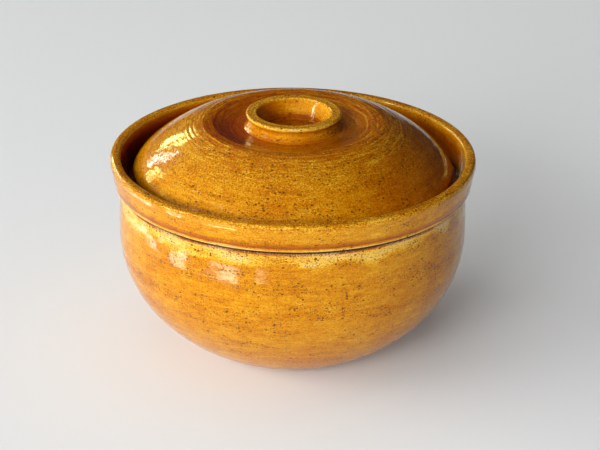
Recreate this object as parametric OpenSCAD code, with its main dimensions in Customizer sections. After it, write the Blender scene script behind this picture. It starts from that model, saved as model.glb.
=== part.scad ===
// Water-seal pickling crock: a wheel-thrown stoneware bowl with a channel round
// its mouth, a domed lid whose edge stands in the channel, and two half-moon
// weights that hold the food under the brine.
// Millimetres, +Z up, origin at the centre of the foot, on the table.

/* [Crock] */
// Diameter over the rim of the collar
rim_d = 240; // [220:1:280]
// Height of the bowl, from the foot to the ledge that carries the collar
bowl_h = 110.5; // [100:0.5:135]
// Diameter of the foot
foot_d = 120; // [104:1:136]
// Thickness of the bowl's wall
wall_t = 7.5; // [6.5:0.5:8]
// Thickness of the bowl's floor
floor_t = 9; // [8:0.5:10]

/* [Channel] */
// Height of the collar above its ledge
collar_h = 19.3; // [18:0.1:24]
// Thickness of the collar at its foot
collar_t = 8.2; // [7.5:0.1:9]
// Height of the neck above the channel's floor
neck_h = 12.5; // [9:0.5:13]
// Thickness of the neck
neck_t = 6; // [5:0.5:7]

/* [Lid] */
// Play between the lid's edge and the foot of the collar
lid_play = 4; // [3:0.5:5]
// Height of the lid, from its edge to the ridge round the dished top
lid_h = 41.5; // [38:0.5:46]
// Thickness of the lid
lid_t = 7; // [6:0.5:7.5]
// Diameter of the ridge round the dished top
ridge_d = 118; // [110:1:124]
// Depth of the dished top below the ridge
dish_depth = 3.6; // [2:0.2:4]
// Radius of the two gas notches in the lid's edge
notch_r = 4.5; // [3:0.5:6]

/* [Knob] */
// Diameter of the ring knob over its lip
knob_d = 63; // [58:1:68]
// Height of the ring knob above the dished top
knob_h = 10.5; // [8:0.5:18]
// Diameter of the ring knob's mouth
knob_mouth_d = 48; // [44:1:50]

/* [Weights] */
// Play between the pair of weights and the mouth
weight_play = 2; // [1:0.5:8]
// Thickness of each weight
weight_t = 15; // [12:1:20]
// Gap between the two straight edges
weight_gap = 3; // [2:0.5:6]
// Diameter of the finger hole in each weight
finger_d = 22; // [18:1:26]

/* [Hidden] */
$fn = 128;
glaze_amber = [0.78, 0.48, 0.10];
glaze_honey = [0.84, 0.56, 0.16];
bare_clay = [0.80, 0.70, 0.56];
long_n = 16;      // steps along a long curve
round_n = 6;      // steps along the round of an edge

// Collar: the channel's outer wall
rim_r = rim_d / 2;
collar_z = bowl_h + collar_h;
lip_w = 7.4;              // across the lip, which is flat on top with round shoulders
lip_t = 3.4;              // from the lip's widest line to its top
lip_z = collar_z - lip_t;
hem_r = rim_r - 2.8;      // the bead along the collar's lower edge
hem_t = 1.5;
band_taper = 2.4;         // how much narrower the collar is just above the bead
band_h = lip_z - bowl_h - 2 * hem_t;
channel_r = hem_r - collar_t;

// Bowl, outside: part of an ellipse up to the belly, a flatter one above it
belly_r = rim_r - 5.5;
belly_z = bowl_h * 0.7;
foot_r = foot_d / 2;
foot_soft = 1.5;
foot_w = 9;               // bare ring that the crock stands on
foot_hollow = 2.5;        // turned out of the underside
hollow_r = foot_r - foot_w;
floor_soft = 3;           // how far above the floor the wall begins to curve into it
belly_rise = belly_z / sqrt(1 - pow(foot_r / belly_r, 2));
shoulder_rise = 200;

// Bowl, inside, and the neck
inner_r = belly_r - wall_t;
inner_rise = belly_rise - floor_t;
channel_z = bowl_h - 1;   // the channel is sunk this far into the bowl's top
lid_r = channel_r - lid_play;
edge_t = 7.5;             // the lid's edge, across
edge_play = 5.5;          // between the lid's edge and the neck
neck_r = lid_r - edge_t - edge_play;
mouth_r = neck_r - neck_t;
neck_z = channel_z + neck_h;
shelf_t = 7.5;            // below the channel
shelf_z = channel_z - shelf_t;
shelf_soft = 2.5;
arch_r = mouth_r + 6;
arch_h = 14;

// Lid: a skirt, then part of an ellipse up to the ridge, then a dished top
seat_gap = 0.3;           // between the lid's edge and the channel's floor
edge_z = channel_z + seat_gap;
edge_soft = 3;
skirt_h = 10;
dome_r = lid_r + 5;
ridge_r = ridge_d / 2;
ridge_z = edge_z + lid_h;
dome_from = sqrt(1 - pow(lid_r / dome_r, 2));
dome_to = sqrt(1 - pow(ridge_r / dome_r, 2));
dome_rise = (lid_h - skirt_h) / (dome_to - dome_from);
dome_z = ridge_z - dome_rise * dome_to;
under_r = dome_r - lid_t;
under_rise = dome_rise - lid_t;
under_top = ridge_z - lid_t - 1.4;
under_ridge = under_r * sqrt(1 - pow((under_top - dome_z) / under_rise, 2));
notch_drop = 0.5;         // the notches' centre below the lid's edge

// Knob: a hollow ring on the dished top, with a shallow cup inside it
knob_r = knob_d / 2;
knob_z = ridge_z - dish_depth;
knob_waist = knob_r - 2.2;
knob_lip = 2.8;
mouth_soft = 1.2;
cup_r = knob_mouth_d / 2 - 3;     // where the cup meets the dished top
cup_depth = 2.8;                  // below the dished top
dish_out = knob_r + 4;

// Weights
weight_r = mouth_r - weight_play;
bevel_w = 6;
bevel_h = inside_z(weight_r) - inside_z(weight_r - bevel_w);
weight_z = max(inside_z(weight_r - bevel_w) + 0.4, floor_t + 4);
weight_soft = 2;
finger_x = weight_r * 0.46;
finger_soft = 1.5;
clear = 1;                // how far a cutter runs past what it cuts

// Height of the bowl's inside at radius r, and its radius at height z.
function inside_z(r) = belly_z - inner_rise * sqrt(1 - pow(r / inner_r, 2));
function inside_r(z) = inner_r * sqrt(1 - pow((belly_z - z) / inner_rise, 2));

// Points of an ellipse of half-axes a and b about [x, z], from one angle to another.
function arc(x, z, a, b, from, to, n) =
    [for (i = [0:n]) let (t = from + (to - from) * i / n) [x + a * cos(t), z + b * sin(t)]];

// The same between two heights, on the side away from the axis.
function arc_between(z, a, b, z0, z1, n) = arc(0, z, a, b, asin((z0 - z) / b), asin((z1 - z) / b), n);

// A step from p to q that leaves and arrives level.
function sway(p, q, n) =
    [for (i = [0:n]) let (s = i / n) p + [(q[0] - p[0]) * s, (q[1] - p[1]) * (1 - cos(180 * s)) / 2]];

// A half-ellipse with square shoulders about [x, z], from its outer side over its top to its inner side.
function squarer(u) = sign(u) * pow(abs(u), 0.7);
function lip(x, z, a, b, n) =
    [for (i = [0:n]) let (t = 180 * i / n) [x + a * squarer(cos(t)), z + b * squarer(sin(t))]];

// Section of the bowl: foot, belly, ledge, channel, neck, and back down the inside.
function bowl_section() = concat(
    [[0, 0]],
    arc(foot_r - foot_soft, foot_soft, foot_soft, foot_soft, -90, -30, round_n),
    arc_between(belly_z, belly_r, belly_rise, foot_soft + 1, belly_z, long_n),
    arc_between(belly_z, belly_r, shoulder_rise, belly_z + 4, bowl_h, 5),
    [[channel_r, bowl_h], [channel_r, channel_z], [neck_r + 2, channel_z], [neck_r, channel_z + 2]],
    arc(neck_r - neck_t / 2, neck_z - neck_t / 2, neck_t / 2, neck_t / 2, 0, 180, round_n * 2),
    arc(mouth_r + shelf_soft, shelf_z + shelf_soft, shelf_soft, shelf_soft, 180, 270, round_n),
    arc(arch_r, shelf_z - arch_h, inner_r - arch_r, arch_h, 90, 0, round_n),
    arc_between(belly_z, inner_r, inner_rise, belly_z, floor_t + floor_soft, long_n),
    [[inside_r(floor_t + floor_soft) - floor_soft * 3, floor_t], [0, floor_t]]
);

// Section of the collar: leaning inside, flat lip, full outside, beaded hem.
function collar_section() = concat(
    [[channel_r, bowl_h]],
    arc(hem_r - hem_t, bowl_h + hem_t, hem_t, hem_t, -90, 30, round_n),
    [for (i = [6:-1:1]) let (s = i / 7) [rim_r - band_taper * s * (1 + 2 * s) / 3, lip_z - band_h * s]],
    lip(rim_r - lip_w / 2, lip_z, lip_w / 2, lip_t, round_n * 3)
);

// Section of the lid: round edge, skirt, dome, dished top with its cup, and the hollow below.
function lid_section() = concat(
    arc(lid_r - edge_soft, edge_z + edge_soft, edge_soft, edge_soft, -90, 0, round_n),
    arc_between(dome_z, dome_r, dome_rise, edge_z + skirt_h, ridge_z, long_n),
    sway([ridge_r - 2, ridge_z - 0.1], [dish_out, knob_z], 8),
    [[cup_r, knob_z], [cup_r - 2, knob_z - cup_depth], [0, knob_z - cup_depth]],
    [[0, knob_z - cup_depth - lid_t], [cup_r - 2, knob_z - cup_depth - lid_t]],
    sway([cup_r + 4, knob_z - lid_t - 0.6], [under_ridge - 2, under_top - 0.1], 8),
    arc_between(dome_z, under_r, under_rise, under_top, dome_z + skirt_rise(), long_n),
    arc(lid_r - edge_t + 2, edge_z + 2, 2, 2, 180, 270, round_n)
);

// How far above the dome's centre its underside comes down to the inside of the edge.
function skirt_rise() = under_rise * sqrt(1 - pow((lid_r - edge_t) / under_r, 2));

// Section of the ring knob: tapering mouth, rounded lip, waist and flared foot.
function knob_section() = concat(
    [[cup_r, 0], [knob_waist + 0.9, 0], [knob_waist + 0.2, 1.2], [knob_waist, knob_h - knob_lip - 1.4]],
    arc(knob_r - knob_lip / 2, knob_h - knob_lip / 2, knob_lip / 2, knob_lip / 2, -75, 90, round_n + 2),
    arc(knob_mouth_d / 2 + mouth_soft, knob_h - mouth_soft, mouth_soft, mouth_soft, 90, 180, round_n)
);

// Section of the weights: bevelled below to lie on the bowl, rounded above.
function weight_section() = concat(
    [[0, 0], [weight_r - bevel_w, 0], [weight_r, bevel_h]],
    arc(weight_r - weight_soft, weight_t - weight_soft, weight_soft, weight_soft, 0, 90, round_n),
    [[0, weight_t]]
);

module turned(section) {
    rotate_extrude() polygon(section);
}

module crock_body() {
    color(glaze_amber) difference() {
        turned(bowl_section());
        // the hollow foot, with a sloping edge
        translate([0, 0, -clear])
            cylinder(r1 = hollow_r + clear, r2 = hollow_r - foot_hollow, h = foot_hollow + clear);
    }
}

module channel_collar() {
    color(glaze_honey) turned(collar_section());
}

// Half-round notches across the lid's edge let the gas out and keep the air from coming in.
module gas_notches() {
    for (side = [0, 180])
        rotate([0, 0, side]) translate([lid_r - edge_t - clear, 0, edge_z - notch_drop])
            rotate([0, 90, 0]) cylinder(r = notch_r, h = edge_t + 2 * clear);
}

module lid_shell() {
    color(glaze_amber) difference() {
        turned(lid_section());
        gas_notches();
    }
}

module lid_knob() {
    color(glaze_honey) translate([0, 0, knob_z]) turned(knob_section());
}

// A finger hole with its upper and lower edges eased.
module finger_hole() {
    translate([0, 0, -clear]) cylinder(d = finger_d, h = weight_t + 2 * clear);
    for (end = [0, 1])
        translate([0, 0, end * weight_t]) mirror([0, 0, end]) translate([0, 0, -clear])
            cylinder(r1 = finger_d / 2 + finger_soft + clear, r2 = finger_d / 2, h = finger_soft + clear);
}

// One half-moon; side is -1 for the left one and 1 for the right one.
module weight(side) {
    color(bare_clay) translate([0, 0, weight_z]) difference() {
        turned(weight_section());
        translate([side > 0 ? -rim_d + weight_gap / 2 : -weight_gap / 2, -rim_d / 2, -clear])
            cube([rim_d, rim_d, weight_t + 2 * clear]);
        translate([side * finger_x, 0, 0]) finger_hole();
    }
}

module left_weight() {
    weight(-1);
}

module right_weight() {
    weight(1);
}

crock_body();
channel_collar();
lid_shell();
lid_knob();
left_weight();
right_weight();
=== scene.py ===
"""Looks of a water-seal pickling crock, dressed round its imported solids.

A turned piece is a section in radius and height that is carried once round the
axis as a numpy grid. Sections and sizes are in millimetres, meshes in metres.
"""
import logging
import math
from dataclasses import dataclass, field
from enum import Enum

import bpy
import numpy as np
from mathutils import Matrix, Vector


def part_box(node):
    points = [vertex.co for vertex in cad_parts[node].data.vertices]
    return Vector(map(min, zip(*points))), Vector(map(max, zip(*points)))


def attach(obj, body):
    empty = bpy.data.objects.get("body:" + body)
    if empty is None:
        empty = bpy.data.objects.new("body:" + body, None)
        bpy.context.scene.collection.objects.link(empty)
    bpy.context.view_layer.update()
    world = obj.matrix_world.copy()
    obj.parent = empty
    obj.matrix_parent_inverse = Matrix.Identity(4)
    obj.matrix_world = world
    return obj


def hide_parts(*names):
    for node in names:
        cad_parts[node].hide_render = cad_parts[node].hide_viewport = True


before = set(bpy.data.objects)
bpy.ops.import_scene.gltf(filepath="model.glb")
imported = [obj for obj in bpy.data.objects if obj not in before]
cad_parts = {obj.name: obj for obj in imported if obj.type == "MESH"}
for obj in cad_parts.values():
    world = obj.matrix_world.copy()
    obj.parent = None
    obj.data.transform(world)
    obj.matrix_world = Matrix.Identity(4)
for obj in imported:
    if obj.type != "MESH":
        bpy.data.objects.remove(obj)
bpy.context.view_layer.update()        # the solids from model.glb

MM = 0.001
TURN = 2 * math.pi
log = logging.getLogger("crock")


class Slot(Enum):
    """The record's material slots."""

    AMBER = "amber_glaze"
    HONEY = "honey_glaze"
    CLAY = "bare_clay"


class Body(Enum):
    """The rigid bodies that the pieces ride on."""

    CROCK = "crock"
    LID = "lid"
    LEFT_WEIGHT = "weight_on_the_left"
    RIGHT_WEIGHT = "weight_on_the_right"


class Lights(Enum):
    """What a lamp lights: everything, the floor alone, or all but the floor."""

    ALL = "ALL"
    FLOOR = "INCLUDE"
    PIECES = "EXCLUDE"


def node_box(node: str) -> tuple[np.ndarray, np.ndarray]:
    """Gives the lowest and highest corners of a solid's box, in millimetres."""
    low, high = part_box(node)
    return np.array(low) / MM, np.array(high) / MM


def smooth_step(low: float, high: float, value: np.ndarray) -> np.ndarray:
    """Goes from 0 at low to 1 at high, whichever is the larger, along a cubic level at both ends."""
    s = np.clip((value - low) / (high - low), 0.0, 1.0)
    return s * s * (3 - 2 * s)


def bump_at(centre: float, width: float, value: np.ndarray) -> np.ndarray:
    """A bell of height 1 at centre: e to the minus square of the distance in widths."""
    return np.exp(-(((value - centre) / width) ** 2))


class Section:
    """An outline in radius and height, drawn run by run, with the clay on its left."""

    STEP = 0.1           # millimetres between the points that the smoothing works on
    ARC_POINTS = 49
    SWAY_POINTS = 33
    SAME = 1e-6          # millimetres within which two points are one
    BELL_REACH = 3       # how many of its widths a bell is drawn out to
    TURN_SOFT = 0.9      # width of the bell that evens out how sharply the outline turns, in millimetres
    TURN_LIMIT = 0.6     # sharpest turn that counts, in radians per millimetre
    CROWDING = 22        # how many times closer stations are set for each radian per millimetre

    def __init__(self, closed: bool) -> None:
        """Starts an empty outline: a ring's where closed, and else one from the axis back to it."""
        self.closed = closed
        self.runs: list[np.ndarray] = []

    def line(self, *points: tuple[float, float]) -> "Section":
        """Adds straight stretches through points and returns the outline."""
        self.runs.append(np.array(points, dtype=float))
        return self

    def arc(
        self, centre: tuple[float, float], half: tuple[float, float], start: float, end: float
    ) -> "Section":
        """Adds part of an ellipse: centre plus half-axes times cosine and sine of the angle.

        Args:
            centre: Radius and height of its centre.
            half: Its half-axes along radius and height.
            start: First angle, in degrees.
            end: Last angle, in degrees.

        Returns:
            The outline itself.
        """
        t = np.radians(np.linspace(start, end, self.ARC_POINTS))
        self.runs.append(np.array(centre) + np.array(half) * np.stack([np.cos(t), np.sin(t)], axis=1))
        return self

    def sway(self, start: tuple[float, float], end: tuple[float, float]) -> "Section":
        """Adds a step between two points that leaves and arrives level: half a cosine wave."""
        s = np.linspace(0, 1, self.SWAY_POINTS)
        height = start[1] + (end[1] - start[1]) * (1 - np.cos(math.pi * s)) / 2
        self.runs.append(np.stack([start[0] + (end[0] - start[0]) * s, height], axis=1))
        return self

    def stations(
        self, count: int, soft: float, dense: tuple[float, float, float] = (0, 0, 1)
    ) -> "Stations":
        """Softens the corners and picks the stations that the grid is built on.

        The outline is read at even steps and averaged with a bell of the given width,
        and stations are set closer where it bends more.

        Args:
            count: How many stations to pick.
            soft: Width of the bell, which is the size of the rounding.
            dense: Two radii, and how many times closer the stations are between them on top.

        Returns:
            The stations in order.
        """
        points = np.concatenate(self.runs)
        keep = np.r_[True, np.hypot(*np.diff(points, axis=0).T) > self.SAME]
        points = points[keep]
        if self.closed:
            points = np.vstack([points, points[:1]])
        length = np.r_[0, np.cumsum(np.hypot(*np.diff(points, axis=0).T))]
        steps = int(length[-1] / self.STEP)
        at = np.linspace(0, length[-1], steps + 1)
        even = np.stack([np.interp(at, length, points[:, k]) for k in (0, 1)], axis=1)
        if self.closed:
            even, at = even[:-1], at[:-1]
        even = self.averaged(even, soft, mirror=True)
        tangent = self.slope(even)
        tangent /= np.hypot(*tangent.T)[:, None]
        turn = self.slope(np.unwrap(np.arctan2(tangent[:, 1], tangent[:, 0]))[:, None])[:, 0]
        turn = self.averaged(turn[:, None], self.TURN_SOFT, mirror=False)[:, 0] / self.STEP
        weight = 1 + self.CROWDING * np.clip(np.abs(turn), 0, self.TURN_LIMIT)
        ringed = (even[:, 0] > dense[0]) & (even[:, 0] < dense[1]) & (tangent[:, 0] < 0)
        weight = weight + (dense[2] - 1) * ringed
        share = np.r_[0, np.cumsum((weight[1:] + weight[:-1]) / 2)]
        picks = np.linspace(0, share[-1], count, endpoint=not self.closed)
        index = np.interp(picks, share, np.arange(len(share)))
        columns = (even[:, 0], even[:, 1], at, tangent[:, 1], -tangent[:, 0], turn)
        return Stations(self.closed, *(np.interp(index, np.arange(len(c)), c) for c in columns))

    def slope(self, values: np.ndarray) -> np.ndarray:
        """Half the difference of the two neighbours, round the join where the outline is closed."""
        if self.closed:
            return (np.roll(values, -1, axis=0) - np.roll(values, 1, axis=0)) / 2
        return np.gradient(values, axis=0)

    def averaged(self, values: np.ndarray, width: float, mirror: bool) -> np.ndarray:
        """Averages along the outline with a bell.

        Args:
            values: One row per point of the outline.
            width: Width of the bell, in millimetres.
            mirror: True where the first column is a radius, which changes sign past the axis.

        Returns:
            The averaged rows.
        """
        reach = int(self.BELL_REACH * width / self.STEP) + 1
        bell = np.exp(-0.5 * (np.arange(-reach, reach + 1) * self.STEP / width) ** 2)
        bell /= bell.sum()
        if self.closed:
            padded = np.vstack([values[-reach:], values, values[:reach]])
        else:
            flip = np.ones(values.shape[1])
            if mirror:
                flip[0] = -1
            padded = np.vstack([values[reach:0:-1] * flip, values, values[-2:-reach - 2:-1] * flip])
        return np.stack([np.convolve(padded[:, k], bell, "valid") for k in range(values.shape[1])], axis=1)


@dataclass
class Stations:
    """Points along a section, with the outward normal and the bend at each, in millimetres."""

    closed: bool
    radius: np.ndarray
    height: np.ndarray
    along: np.ndarray
    out: np.ndarray
    up: np.ndarray
    bend: np.ndarray


def angles_round(count: int) -> np.ndarray:
    """Gives even angles once round the axis, as a column."""
    return np.linspace(0, TURN, count, endpoint=False)[:, None]


@dataclass
class Turning:
    """A turned piece: its section's stations as a row, by angles round the axis as a column."""

    stations: Stations
    angle: np.ndarray

    def waves(
        self, seed: int, depth: float, lengths: tuple[float, float], turns: int = 1, count: int = 14,
        level: bool = False,
    ) -> np.ndarray:
        """Adds up cosine waves round and along the piece, as a thrower's hands leave them.

        Each wave is the cosine of the way along the section over its length, plus a whole
        number of turns of the angle, plus a phase.

        Args:
            seed: Seed of the random draws.
            depth: Usual size of the sum.
            lengths: Shortest and longest length along the section, in millimetres.
            turns: Most turns of the angle, either way.
            count: How many waves there are.
            level: True for waves that run only round the piece.

        Returns:
            The sum, by angle and station.
        """
        draw = np.random.default_rng(seed)
        length = np.exp(draw.uniform(*map(math.log, lengths), count))
        whole = draw.integers(-turns, turns + 1, count)
        phase = draw.uniform(0, TURN, count)
        along = self.stations.along * (not level)
        total = sum(np.cos(TURN * along / w + n * self.angle + p) for w, n, p in zip(length, whole, phase))
        return total * depth * math.sqrt(2 / count)

    def points(self, offset: np.ndarray) -> np.ndarray:
        """Carries the section round: radius times cosine and sine of the angle, and the height.

        Args:
            offset: How far each point stands out of the section, in millimetres.

        Returns:
            Positions in millimetres, by angle, station and axis.
        """
        s = self.stations
        radius = s.radius + s.out * offset
        height = s.height + s.up * offset
        return np.stack([radius * np.cos(self.angle), radius * np.sin(self.angle), height], axis=2)

    def make(self, name: str, points: np.ndarray, marks: dict[str, np.ndarray]) -> bpy.types.Object:
        """Makes the piece's mesh, with one vertex at each end that lies on the axis.

        Args:
            name: The piece's name.
            points: Positions in millimetres, by angle, station and axis.
            marks: Values that the finishes read, by name.

        Returns:
            The object.
        """
        columns, rows = points.shape[:2]
        marks = {k: np.broadcast_to(v, (columns, rows)) for k, v in marks.items()}
        if self.stations.closed:
            flat = {k: v.reshape(-1) for k, v in marks.items()}
            return make_object(name, points.reshape(-1, 3), wrap_quads(columns, rows, True).tolist(), flat)
        inner = points[:, 1:-1]
        poles = np.stack([points[:, 0].mean(axis=0), points[:, -1].mean(axis=0)])
        poles[:, :2] = 0
        rows = inner.shape[1]
        first, last, end = columns * rows, columns * rows + 1, rows - 1
        col = np.arange(columns)
        after = (col + 1) % columns
        faces = wrap_quads(columns, rows, False).tolist()
        faces += np.stack([np.full(columns, first), after * rows, col * rows], axis=1).tolist()
        faces += np.stack([col * rows + end, after * rows + end, np.full(columns, last)], axis=1).tolist()
        flat = {k: np.r_[v[:, 1:-1].reshape(-1), v[:, 0].mean(), v[:, -1].mean()] for k, v in marks.items()}
        return make_object(name, np.vstack([inner.reshape(-1, 3), poles]), faces, flat)


def wrap_quads(columns: int, rows: int, close_rows: bool) -> np.ndarray:
    """Numbers the faces of a grid that closes on itself round the axis.

    Args:
        columns: Angles round the axis.
        rows: Stations along the section.
        close_rows: True where the last station joins the first.

    Returns:
        Four vertex numbers per face, facing outwards.
    """
    col = np.arange(columns)[:, None]
    row = np.arange(rows if close_rows else rows - 1)[None, :]
    next_col, next_row = (col + 1) % columns, (row + 1) % rows
    corners = [col * rows + row, next_col * rows + row, next_col * rows + next_row, col * rows + next_row]
    return np.stack([np.broadcast_to(c, (columns, row.size)) for c in corners], axis=2).reshape(-1, 4)


def make_object(
    name: str, points: np.ndarray, faces: list, marks: dict[str, np.ndarray]
) -> bpy.types.Object:
    """Makes a smooth mesh object at the origin.

    Args:
        name: The piece's name.
        points: Positions in millimetres, one row each.
        faces: Vertex numbers of each face.
        marks: Values per vertex that the finishes read, by name.

    Returns:
        The object, linked to the scene.
    """
    mesh = bpy.data.meshes.new(name)
    mesh.from_pydata((points * MM).tolist(), [], faces)
    mesh.polygons.foreach_set("use_smooth", np.ones(len(mesh.polygons), dtype=bool))
    for mark, values in marks.items():
        mesh.attributes.new(mark, "FLOAT", "POINT").data.foreach_set("value", values.astype(np.float32))
    mesh.update()
    piece = bpy.data.objects.new(name, mesh)
    bpy.context.scene.collection.objects.link(piece)
    return piece


def glaze_marks(stations: Stations) -> dict[str, np.ndarray]:
    """Works out where glaze runs thin and where it pools, from how the section bends.

    Args:
        stations: The section's stations.

    Returns:
        The way along the section in metres, thin and pool from 0 to 1, and start values of
        bare (no glaze), ring (fine turned rings) and sand (how grainy the glaze is).
    """
    return {
        "along": stations.along * MM,
        "thin_and_highlight": smooth_step(0.05, 0.45, stations.bend),
        "pool_and_shade": smooth_step(0.02, 0.25, -stations.bend),
        "bare": np.zeros_like(stations.along),
        "ring": np.zeros_like(stations.along),
        "sand": np.full_like(stations.along, 0.3),
    }


class Graph:
    """A node tree, with short calls that add nodes and link them."""

    def __init__(self, tree: bpy.types.NodeTree) -> None:
        """Takes an empty tree."""
        self.tree = tree

    def add(self, kind: str, feeds: dict | None = None, **settings: object) -> bpy.types.Node:
        """Adds one node.

        Args:
            kind: Its type, without the common start of shader nodes' names.
            feeds: What goes into its sockets, by name or number: a socket or a value.
            settings: Properties of the node.

        Returns:
            The node.
        """
        node = self.tree.nodes.new("ShaderNode" + kind)
        for key, value in settings.items():
            setattr(node, key, value)
        for key, value in (feeds or {}).items():
            if isinstance(value, bpy.types.NodeSocket):
                self.tree.links.new(value, node.inputs[key])
            else:
                node.inputs[key].default_value = value
        return node

    def math(self, operation: str, *values: object) -> bpy.types.NodeSocket:
        """Adds a Math node and returns its result."""
        return self.add("Math", dict(enumerate(values)), operation=operation).outputs[0]

    def more(self, value: object, times: object, rest: object) -> bpy.types.NodeSocket:
        """Multiplies value by times, adds rest and returns the result."""
        return self.math("MULTIPLY_ADD", value, times, rest)

    def swing(self, value: object, times: object, rest: object) -> bpy.types.NodeSocket:
        """Multiplies what value has over one half by times, adds rest and returns the result."""
        return self.more(self.math("SUBTRACT", value, 0.5), times, rest)

    def vector(self, operation: str, result: str, *values: object) -> bpy.types.NodeSocket:
        """Adds a Vector Math node and returns the named result."""
        return self.add("VectorMath", dict(enumerate(values)), operation=operation).outputs[result]

    def effect(self, group: bpy.types.NodeTree, **feeds: object) -> bpy.types.bpy_prop_collection:
        """Places a shared node group, fed by its inputs' names in small letters, and returns its outputs."""
        named = {key.replace("_", " ").capitalize(): value for key, value in feeds.items()}
        return self.add("Group", named, node_tree=group).outputs

    def step(self, value: object, low: float, high: float, top: float = 1.0) -> bpy.types.NodeSocket:
        """Adds a smooth step of value from 0 at low to top at high and returns its result."""
        feeds = {"Value": value, "From Min": low, "From Max": high, "To Min": 0.0, "To Max": top}
        return self.add("MapRange", feeds, interpolation_type="SMOOTHSTEP").outputs["Result"]

    def mix(self, share: object, first: object, second: object) -> bpy.types.NodeSocket:
        """Adds a colour mix of first and second by share and returns its result."""
        return self.add("Mix", {0: share, 6: first, 7: second}, data_type="RGBA").outputs[2]

    def multiply(self, first: object, second: object) -> bpy.types.NodeSocket:
        """Multiplies two colours channel by channel and returns the result."""
        feeds = {0: 1.0, 6: first, 7: second}
        return self.add("Mix", feeds, data_type="RGBA", blend_type="MULTIPLY").outputs[2]

    def mark(self, name: str) -> bpy.types.NodeSocket:
        """Reads one of the marks that a piece's mesh carries."""
        return self.add("Attribute", attribute_name=name).outputs["Fac"]

    def place(self, stretch: tuple[float, float, float] = (1, 1, 1)) -> bpy.types.NodeSocket:
        """Reads the place on the object, stretched along its axes."""
        spot = self.add("TexCoord").outputs["Object"]
        return self.add("Mapping", {"Vector": spot, "Scale": stretch}).outputs["Vector"]

    def noise(
        self, vector: object, scale: float, detail: float = 3.0, rough: float = 0.5
    ) -> bpy.types.NodeSocket:
        """Adds cloudy noise and returns its value."""
        feeds = {"Vector": vector, "Scale": scale, "Detail": detail, "Roughness": rough}
        return self.add("TexNoise", feeds).outputs["Fac"]

    def bumped(self, height: object) -> bpy.types.NodeSocket:
        """Turns a height in metres into a normal and returns it."""
        feeds = {"Height": height, "Distance": 1.0, "Strength": 1.0}
        return self.add("Bump", feeds).outputs["Normal"]

    def finish(self, feeds: dict) -> None:
        """Adds a material's shader, with what goes into its sockets, and its output."""
        self.add("OutputMaterial", {"Surface": self.add("BsdfPrincipled", feeds).outputs[0]})


def new_group(
    name: str, takes: dict[str, tuple[str, object]], gives: dict[str, str]
) -> tuple[Graph, object, object]:
    """Starts a shader node group.

    Args:
        name: The group's name.
        takes: Its inputs: name to socket type and default value.
        gives: Its outputs: name to socket type.

    Returns:
        Its graph, its inputs as sockets to read, and the node that its outputs go to.
    """
    tree = bpy.data.node_groups.new(name, "ShaderNodeTree")
    for key, (kind, value) in takes.items():
        tree.interface.new_socket(key, in_out="INPUT", socket_type=kind).default_value = value
    for key, kind in gives.items():
        tree.interface.new_socket(key, in_out="OUTPUT", socket_type=kind)
    return Graph(tree), tree.nodes.new("NodeGroupInput").outputs, tree.nodes.new("NodeGroupOutput").inputs


FLOAT, COLOUR = "NodeSocketFloat", "NodeSocketColor"


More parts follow.
